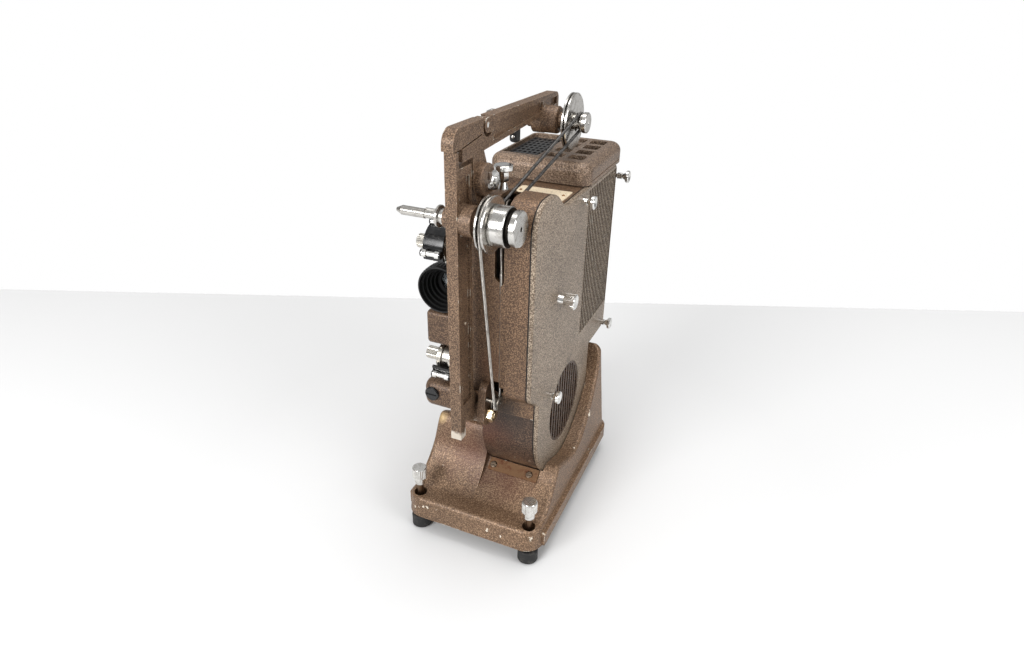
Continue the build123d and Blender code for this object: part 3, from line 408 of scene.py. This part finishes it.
aged_plate = (linear(226, 224, 220), linear(128, 120, 108), 0.16, 0.6)
stem_steel = plated("tilt_screw_plate", *aged_plate)
threads = [(along_axis, "Z", 0.0545, 0.0535)]
coat(stem_steel, threads, linear(104, 82, 64), 0.4)
dress(stem_steel, "tilt_screw_left", "tilt_screw_right")


# Drum clamp. A bent strip of bare steel at the drum's foot, rusted all over, held to the ramp by
# two old screws.
dress(plated("rusted_clamp_steel", linear(122, 92, 66), rust, 0.42, 1.0, 0.4, 0.7), "drum_clamp")
dress(plated("clamp_screw_steel", linear(120, 106, 92), linear(66, 46, 34), 0.35, 0.9, 0.3),
      "drum_clamp_screws")


# Body casting, blower drum and gear case. Die-cast aluminium in brown hammer enamel with a finer
# dimple than the base, stained where the drum meets the ramp. The drum is painted in a darker copy
# of the body's enamel as the shade under the casing, and a dark patch of painted shadow lies on
# the casing's lower edge and the top of the drum below it. The gear case inside is left bare.
cover_seam = 0.0481
case_enamel = enamelled(
    "brown_case_enamel", linear(78, 58, 43), linear(117, 90, 67), linear(150, 121, 93), cells=950.0,
    chips=0.45, width=0.0009, seam=cover_seam,
    stains=[((0.012, -0.0905, 0.2), 0.02, rust, 0.25), ((0.002, -0.091, 0.165), 0.022, soot_and_shade, 0.4),
            # painted shadow, low under the casing's lower edge, in the soot colour
            ((0.02, -0.073, 0.143), 0.022, soot_and_shade, 0.85)])
dress(case_enamel, "casing")
# The drum's colours are a darker copy of the body's enamel: painted shade under the casing.
shaded_drum_enamel = enamelled(
    "drum_enamel_painted_shade", linear(50, 37, 30), linear(88, 67, 53), linear(128, 103, 84), cells=900.0,
    chips=0.4, width=0.0009, seam=cover_seam,
    # The second stain is painted shadow on the drum just under the casing's lower edge.
    stains=[((0.004, -0.0766, 0.115), 0.03, rust, 0.45), ((0.03, -0.078, 0.14), 0.03, soot_and_shade, 0.7),
            ((0.027, -0.0689, 0.0862), 0.0014, chip, 1.0),
            ((0.0424, -0.0694, 0.0871), 0.0017, chip, 1.0)])
dress(shaded_drum_enamel, "blower_drum")
grey_cast = plated("bare_casting", linear(120, 118, 114), linear(70, 66, 60), 0.5, 0.7, 0.5, 0.85)
dress(grey_cast, "gear_case")


# Side cover. One thin casting in a lighter coat of the same enamel, with a soft edge, a panel of
# upright ribs and the blower's round mouth. Four screws hold it to the body, and its grooves are
# painted dark as shade.
cover_enamel = enamelled(
    "light_cover_enamel", linear(98, 83, 69), linear(151, 135, 117), linear(194, 178, 157), cells=900.0,
    chips=0.4, width=0.001, seam=cover_seam,
    stains=[((0.0525, 0.004, 0.158), 0.02, soot_and_shade, 0.35)])
# Painted shade: the grooves between the ribs are tinted dark, deeper in than the rib crests.
shaded_rib_grooves = [(along_axis, "X", 0.0521, 0.0513), (along_axis, "Y", 0.0312, 0.0318)]
coat(cover_enamel, shaded_rib_grooves, linear(52, 42, 35))
dress(cover_enamel, "side_cover")


# Blower grille and wheel. The grille is a slatted steel disc in brown enamel, set in the cover's
# mouth. The wheel behind it is dusty bare aluminium, painted darker as the shade behind the
# grille, on the motor's shaft.
grille_enamel = enamelled("grille_enamel", linear(48, 36, 29), linear(88, 68, 54), linear(132, 108, 88),
                          cells=900.0, chips=0.5, width=0.0008)
dress(grille_enamel, "grille")
# Dusty aluminium, with its colours darkened as painted shade behind the grille.
shaded_wheel_metal = plated("dusty_wheel_painted_shade", linear(92, 86, 78), linear(50, 45, 40), 0.5, 1.0, 0.3, 0.6)
dress(shaded_wheel_metal, "impeller")


# Cover screws, clamp knob and upright thumb screw. Turned brass, chromed and polished. The four
# cover screws go through the cover into the body, the thumb screw into the hump on top.
screw_chrome = plated("screw_chrome", linear(232, 231, 228), linear(140, 132, 120), 0.1, 0.45)
dress(screw_chrome, "cover_screw_top", "cover_screw_rear", "cover_screw_low", "cover_screw_back",
      "clamp_knob", "top_thumb_screw")


# Plate on the level top. A bare strip of thin metal with stained tan lacquer, held to the body by
# two small drive pins.
def tan_finish():
    """Bare tan plate: blotched lacquer over metal, with dark specks."""
    material, tree, place = new_material("tan_plate_lacquer")
    cloud = noise(tree, place, 90.0, 6.0, 0.7)
    colour = mix(tree, cloud, linear(206, 186, 154), linear(240, 226, 200))
    specks = ramp(tree, noise(tree, place, 700.0, 3.0), 0.62, 0.7)
    principled(tree, {"Base Color": mix(tree, specks, colour, linear(84, 62, 40)), "Roughness": 0.42,
                      "Normal": bumps(tree, 0.2, 0.0002, cloud), "Metallic": 0.1})
    return material


def grid_quads(rows, columns, close_rows, close_columns):
    """Corner numbers of the squares between the points of a grid, wrapped round where it is closed."""
    r = np.arange(rows if close_rows else rows - 1)
    c = np.arange(columns if close_columns else columns - 1)
    r, c = (x.ravel() for x in np.meshgrid(r, c, indexing="ij"))
    r2, c2 = (r + 1) % rows, (c + 1) % columns
    return np.stack([r * columns + c, r * columns + c2, r2 * columns + c2, r2 * columns + c], axis=1)


def shell(name, points, quads, material, merge=False):
    """A piece from its points and squares, smooth, with seams and poles closed if asked."""
    mesh = bpy.data.meshes.new(name)
    mesh.vertices.add(len(points))
    mesh.vertices.foreach_set("co", np.asarray(points, np.float32).ravel())
    mesh.loops.add(quads.size)
    mesh.loops.foreach_set("vertex_index", quads.ravel().astype(np.int32))
    mesh.polygons.add(len(quads))
    mesh.polygons.foreach_set("loop_start", np.arange(0, quads.size, 4, dtype=np.int32))
    mesh.update(calc_edges=True)
    mesh.validate()
    if merge:
        work = bmesh.new()
        work.from_mesh(mesh)
        bmesh.ops.remove_doubles(work, verts=work.verts, dist=1e-7)
        bmesh.ops.recalc_face_normals(work, faces=work.faces)
        work.to_mesh(mesh)
        work.free()
    mesh.shade_smooth()
    mesh.materials.append(material)
    piece = bpy.data.objects.new(name, mesh)
    scene.collection.objects.link(piece)
    return piece


def turned(profile, centre, axis):
    """Points of a turned form: each (radius, height) of the profile carried round an axis."""
    sides = 28
    profile = np.array(profile)
    axis = np.array(axis, float)
    across = np.cross(axis, (0.3, 0.5, 0.8))
    across /= np.linalg.norm(across)
    other = np.cross(axis, across)
    turn = np.linspace(0, 2 * pi, sides, endpoint=False)
    ring = np.cos(turn)[:, None] * across + np.sin(turn)[:, None] * other
    points = profile[:, None, :1] * ring[None] + profile[:, None, 1:] * axis
    return (points + np.array(centre)).reshape(-1, 3), grid_quads(len(profile), sides, False, True)


def dome(radius, height):
    """Profile of a rivet head: a flat back, a short wall and a quarter-round crown."""
    turn = np.linspace(0, pi / 2, 7)
    crown = np.stack([radius * np.cos(turn), height * 0.3 + height * 0.7 * np.sin(turn)], axis=1)
    return np.vstack([[0, -height * 0.5], [radius, -height * 0.5], crown])


dress(tan_finish(), "nameplate")
pin_metal = plated("drive_pin_steel", linear(150, 118, 86), rust, 0.4, 0.9, 0.2)
plate_low, plate_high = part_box("nameplate")
for label, x in (("left", plate_low.x + 0.004), ("right", plate_high.x - 0.004)):
    head = turned(dome(0.0014, 0.0011), (x, plate_high.y - 0.014, plate_high.z), (0, 0, 1))
    pin = shell("plate_pin_" + label, *head, pin_metal, merge=True)
    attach(pin, "frame")


# Lamp house and cap. Two castings: the house in the body's brown, fixed to the body, and the cap in
# a warm light enamel, set over the house and darkened by heat at the louvres. A perforated black
# screen lies under the cap's window.
cap_enamel = enamelled(
    "warm_cap_enamel", linear(84, 67, 54), linear(134, 112, 93), linear(176, 152, 129), cells=900.0,
    chips=0.55, width=0.0012, stains=[((0.02, 0.08, 0.357), 0.03, soot_and_shade, 0.25)])
dress(cap_enamel, "lamp_cap")
body_enamel = enamelled(
    "brown_body_enamel", linear(72, 53, 40), linear(109, 84, 63), linear(141, 114, 89), cells=900.0,
    chips=0.45, width=0.0009)
dress(body_enamel, "lamp_house")
screen_black = plated("screen_black_enamel", linear(34, 34, 36), linear(74, 72, 70), 0.35, 0.7, 0.2, 0.3)
dress(screen_black, "cap_screen")


# Projection lamp. A clear tube of glass pushed into a porcelain socket, with a coiled filament on
# two posts. A silvered mirror stands behind it, and the condenser lens in front of the gate.
def clear_glass(name, tint, rough, index):
    """Clear glass, with slow waves in its surface."""
    material, tree, place = new_material(name)
    principled(tree, {"Base Color": tint, "Roughness": rough, "IOR": index, "Transmission Weight": 1.0,
                      "Normal": bumps(tree, 0.03, 0.0005, noise(tree, place, 60.0))})
    return material


def wire(points, radius, sides, beside, closed=False):
    """A round wire along a line of points: a ring of points in the plane square to the line, turned
    from a direction beside it. An open wire gets its ends closed by rings of no size."""
    points = np.asarray(points, float)
    if closed:
        step = np.roll(points, -1, axis=0) - np.roll(points, 1, axis=0)
    else:
        step = np.gradient(points, axis=0)
    step /= np.linalg.norm(step, axis=1)[:, None]
    side = np.cross(step, np.broadcast_to(np.asarray(beside, float), points.shape))
    side /= np.linalg.norm(side, axis=1)[:, None]
    other = np.cross(step, side)
    turn = np.linspace(0, 2 * pi, sides, endpoint=False)
    ring = np.cos(turn)[None, :, None] * side[:, None] + np.sin(turn)[None, :, None] * other[:, None]
    size = np.full(len(points), radius)
    if not closed:
        points, ring = points[[0, *range(len(points)), -1]], ring[[0, *range(len(ring)), -1]]
        size = np.concatenate([[0], size, [0]])
    skin = points[:, None] + ring * size[:, None, None]
    return skin.reshape(-1, 3), grid_quads(len(points), sides, closed, True)


bulb_low, bulb_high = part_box("lamp")
bulb_x = (bulb_low.x + bulb_high.x) / 2
bulb_y = (bulb_low.y + bulb_high.y) / 2
filament_z = 0.266
post_foot_z = 0.2275
dress(clear_glass("bulb_glass", (0.97, 0.98, 1, 1), 0.02, 1.45), "lamp")
dress(plated("socket_porcelain", linear(222, 214, 198), linear(150, 138, 118), 0.3, 0.6, 0.1, 0.0),
      "lamp_socket")
dress(plated("mirror_silver", linear(236, 236, 234), linear(170, 160, 140), 0.04, 0.3, 0.02), "reflector")
coil_turns, points_per_turn, coil_radius, coil_reach = 9, 14, 0.0011, 0.0045
coil_turn = np.linspace(0, coil_turns * 2 * pi, coil_turns * points_per_turn)
coil_line = np.stack([bulb_x + np.linspace(-coil_reach, coil_reach, len(coil_turn)),
                      bulb_y + coil_radius * np.cos(coil_turn),
                      filament_z + coil_radius * np.sin(coil_turn)], axis=1)
tungsten = plated("tungsten", linear(120, 118, 116), linear(80, 78, 76), 0.3, 0.4)
filament = shell("lamp_filament", *wire(coil_line, 0.00022, 6, (1, 0, 0)), tungsten, merge=True)
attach(filament, "frame")
for label, dx in (("left", -0.0052), ("right", 0.0052)):
    rise = np.linspace(post_foot_z, filament_z + 0.001, 12)
    post_line = np.stack([np.full_like(rise, bulb_x + dx), np.full_like(rise, bulb_y), rise], axis=1)
    post = shell("lamp_post_" + label, *wire(post_line, 0.0004, 8, (1, 0, 0)), tungsten, merge=True)
    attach(post, "frame")
dress(clear_glass("condenser_glass", (0.95, 0.98, 0.96, 1), 0.01, 1.52), "condenser")


# Motor and gear housing. A round aluminium motor case cast with a box in front, brown enamel. The
# brush holder's slotted cap is moulded black plastic.
dress(body_enamel, "motor_housing")


def moulded(name, colour, rough):
    """Glossy moulded plastic with faint flow marks."""
    material, tree, place = new_material(name)
    flow = noise(tree, place, 260.0, 4.0)
    paler = tuple(c * 1.6 for c in colour[:3]) + (1,)
    principled(tree, {"Base Color": mix(tree, flow, colour, paler),
                      "Roughness": ramp(tree, flow, 0.0, 1.0, rough * 0.7, rough * 1.5),
                      "Normal": bumps(tree, 0.08, 0.0002, flow)})
    return material


dress(moulded("brush_cap_plastic", linear(20, 20, 21), 0.25), "brush_cap")


# Film gate and lens. Enamelled blocks on the body's left side with a polished pressure plate. The
# lens slides in the front block. It is anodised black, with a stepped mouth and coated glass.
dress(body_enamel, "gate_body", "lens_mount")
gate_polish = plated("gate_polish", linear(214, 212, 208), linear(150, 144, 134), 0.14, 0.3)
dress(gate_polish, "pressure_plate")


def near_line(tree, place, across, centre, outer, inner):
    """A mask that is 1 closer than the inner radius to a line, and 0 beyond the outer one. The line
    runs through a centre along the axis for which across is 0."""
    flat = node(tree, "VectorMath", {0: place, 1: across}, operation="MULTIPLY")
    away = node(tree, "VectorMath", {0: flat.outputs[0], 1: centre}, operation="DISTANCE")
    return ramp(tree, away.outputs["Value"], outer, inner)


lens_black = plated("lens_black_anodising", linear(20, 20, 21), linear(50, 48, 46), 0.34, 0.5, 0.2, 0.35)
lens_axis = (-0.037, 0, 0.266)
lens_mouth = [(near_line, (1, 0, 1), lens_axis, 0.0203, 0.0199)]
coat(lens_black, lens_mouth, linear(5, 5, 5), 0.8)
dress(lens_black, "lens_barrel")
dress(clear_glass("lens_glass_coated", (0.86, 0.92, 0.95, 1), 0.0, 1.6), "lens_glass")


# Sprockets, keepers and rollers. Steel sprockets with knurled hand knobs on shafts from the gear
# case, and keepers in gloss black enamel that swing on steel studs and carry polished rollers.
film_steel = plated("sprocket_steel", linear(186, 182, 174), linear(120, 112, 100), 0.26, 0.6)
dress(film_steel, "upper_sprocket", "lower_sprocket", "keeper_studs")
keeper_black = plated("keeper_black_enamel", linear(18, 18, 19), linear(54, 52, 50), 0.14, 0.4, 0.05, 0.1)
dress(keeper_black, "upper_keeper", "lower_keeper")
dress(screw_chrome, "upper_roller_a", "upper_roller_b", "lower_roller_a", "lower_roller_b")


# Spool arms. Cast channels in brown enamel. The corner piece and its large nut hold the upper arm,
# a rubber buffer keeps it off the cap, and the lower arm's narrow tail is rubbed bare at its tip.
arm_enamel = enamelled("arm_enamel", linear(80, 61, 46), linear(122, 97, 76), linear(158, 131, 105),
                       cells=950.0, chips=0.8, width=0.0012,
                       stains=[((-0.0038, -0.1117, 0.2484), 0.0026, chip, 1.0)])
bare_tail = [(along_axis, "Z", 0.1465, 0.1435, 0.012)]
coat(arm_enamel, bare_tail, linear(196, 186, 172))
dress(arm_enamel, "arm_bracket", "upper_arm", "lower_arm")
dress(rubber("buffer_rubber", 16), "arm_buffer")
dress(screw_chrome, "root_fasteners")
dress(plated("old_nut_steel", linear(206, 190, 160), linear(150, 112, 66), 0.25, 1.0, 0.3),
      "low_pivot_bolt")
buffer_low, buffer_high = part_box("arm_buffer")
buffer_x = (buffer_low.x + buffer_high.x) / 2
stud = turned(dome(0.0016, 0.0012), (buffer_x, buffer_low.y + 0.0002, buffer_low.z + 0.0055), (0, -1, 0))
buffer_stud = shell("buffer_stud", *stud, plated("knob_chrome", *aged_plate), merge=True)
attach(buffer_stud, "arm_upper")


# Spindles, pulleys and knobs. Turned steel, chromed, running through a boss at the end of each arm.
# The small drive pulleys inside the body are plain steel.
pulley_steel = plated("pulley_steel", linear(192, 189, 184), linear(116, 109, 100), 0.2, 0.7)
dress(pulley_steel, "supply_spindle", "supply_pulley", "supply_knob", "takeup_spindle", "takeup_pulley")
clutch_steel = plated("clutch_steel", linear(196, 194, 190), linear(118, 112, 104), 0.18, 0.6)
# Painted shade: the take-up knob's groove and the dimple in its end are tinted dark.
shaded_knob_groove = [(along_axis, "X", 0.0376, 0.0380), (along_axis, "X", 0.0413, 0.0409)]
takeup_axis = (0, -0.1155, 0.3415)
dimple = [(along_axis, "X", 0.0440, 0.0445), (near_line, (0, 1, 1), takeup_axis, 0.0021, 0.00189)]
coat(clutch_steel, shaded_knob_groove, linear(36, 33, 30), 0.5)
coat(clutch_steel, dimple, linear(30, 26, 23), 0.6)
dress(clutch_steel, "takeup_knob")
dress(plated("drive_steel", linear(120, 114, 106), linear(70, 64, 58), 0.35, 0.8), "supply_drive_pulley",
      "takeup_drive_pulley")


# Belts. Endless springs of close-wound steel wire, hooked end to end, that run from a small drive
# pulley in the body to the pulley at the end of each arm.
def belt_line(start, start_radius, end, end_radius, count):
    """Points round two pulleys by distance: straight, arc, straight, arc. A point on an arc is the
    pulley's centre plus its radius along the turned direction. Gives points, directions and outward
    directions, and the length."""
    a, b = np.array(start), np.array(end)
    far = np.linalg.norm(b - a)
    along = (b - a) / far
    across = np.cross((1, 0, 0), along)
    across /= np.linalg.norm(across)
    lean = np.arcsin((start_radius - end_radius) / far)
    wide = pi / 2 - lean
    run = far * cos(lean)
    sizes = np.cumsum([run, 2 * wide * end_radius, run, (2 * pi - 2 * wide) * start_radius])
    s = np.linspace(0, sizes[3], count, endpoint=False)
    on_end = np.clip((s - sizes[0]) / (sizes[1] - sizes[0]), 0, 1) * 2 * wide
    on_start = np.clip((s - sizes[2]) / (sizes[3] - sizes[2]), 0, 1) * (2 * pi - 2 * wide)
    angle = wide - on_end - on_start
    outward = np.cos(angle)[:, None] * along + np.sin(angle)[:, None] * across
    forward = np.sin(angle)[:, None] * along - np.cos(angle)[:, None] * across
    there = np.clip(s / run, 0, 1) - np.clip((s - sizes[1]) / run, 0, 1)
    centre = a + there[:, None] * (b - a)
    radius = start_radius + there * (end_radius - start_radius)
    return centre + radius[:, None] * outward, forward, outward, sizes[3]


def slack_run(start, start_radius, end, end_radius, slack, count):
    """The belt's line with its first straight run hung slack: pushed outward by a rise and a longer
    fall that meet at a rounded bend, the place of the spring's hook."""
    line, forward, outward, length = belt_line(start, start_radius, end, end_radius, count)
    far = np.linalg.norm(np.subtract(end, start))
    run = np.sqrt(far ** 2 - (start_radius - end_radius) ** 2)
    share = np.clip(np.linspace(0, length, count, endpoint=False) / run, 0, 1)
    hook_share = 0.36
    bend = np.minimum(share / hook_share, (1 - share) / (1 - hook_share))
    push = slack * np.sin(bend * pi / 2) ** 1.3
    return line + push[:, None] * outward, forward, outward, length, run


def spring_belt(name, material, start, start_radius, end, end_radius, slack=0.0):
    """A close-wound spring round two pulleys: the wire circles the belt's line once for each wire
    thickness that it moves on."""
    spring_radius, wire_radius, steps_per_turn = 0.0015, 0.00034, 8
    length = belt_line(start, start_radius, end, end_radius, steps_per_turn)[3]
    turns = int(length / (2 * wire_radius))
    steps = steps_per_turn * turns
    line, forward, outward = slack_run(start, start_radius, end, end_radius, slack, steps)[:3]
    sideways = np.cross(forward, outward)
    turn = 2 * pi * turns * np.arange(steps)[:, None] / steps
    coil = line + (spring_radius - wire_radius) * (np.cos(turn) * outward + np.sin(turn) * sideways)
    return shell(name, *wire(coil, wire_radius, 5, forward, closed=True), material)


dark_spring = plated("dark_spring_steel", linear(92, 90, 88), linear(52, 50, 48), 0.34, 0.7)
supply_belt = spring_belt("supply_belt_spring", dark_spring, (0.03285, 0.052, 0.389), 0.0079,
                          (0.0195, -0.0845, 0.346), 0.0060)
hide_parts("supply_belt")
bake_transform(supply_belt)
takeup_path = ((0.02065, -0.1155, 0.3415), 0.02005, (0.02065, -0.0992, 0.168), 0.00615, 0.0022)
bright_spring = plated("bright_spring_steel", linear(176, 172, 166), linear(112, 106, 98), 0.28, 0.6)
takeup_belt = spring_belt("takeup_belt_spring", bright_spring, *takeup_path)
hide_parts("takeup_belt")
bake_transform(takeup_belt)
hook_count, hook_from, hook_to = 900, 0.29, 0.40
hook_line, _, _, belt_length, belt_run = slack_run(*takeup_path, hook_count)
run_share = np.arange(hook_count) * belt_length / hook_count / belt_run
hook_points = hook_line[(run_share > hook_from) & (run_share < hook_to)]
hook = shell("takeup_belt_link", *wire(hook_points, 0.0018, 10, (1, 0, 0)), bright_spring, merge=True)
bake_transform(hook)
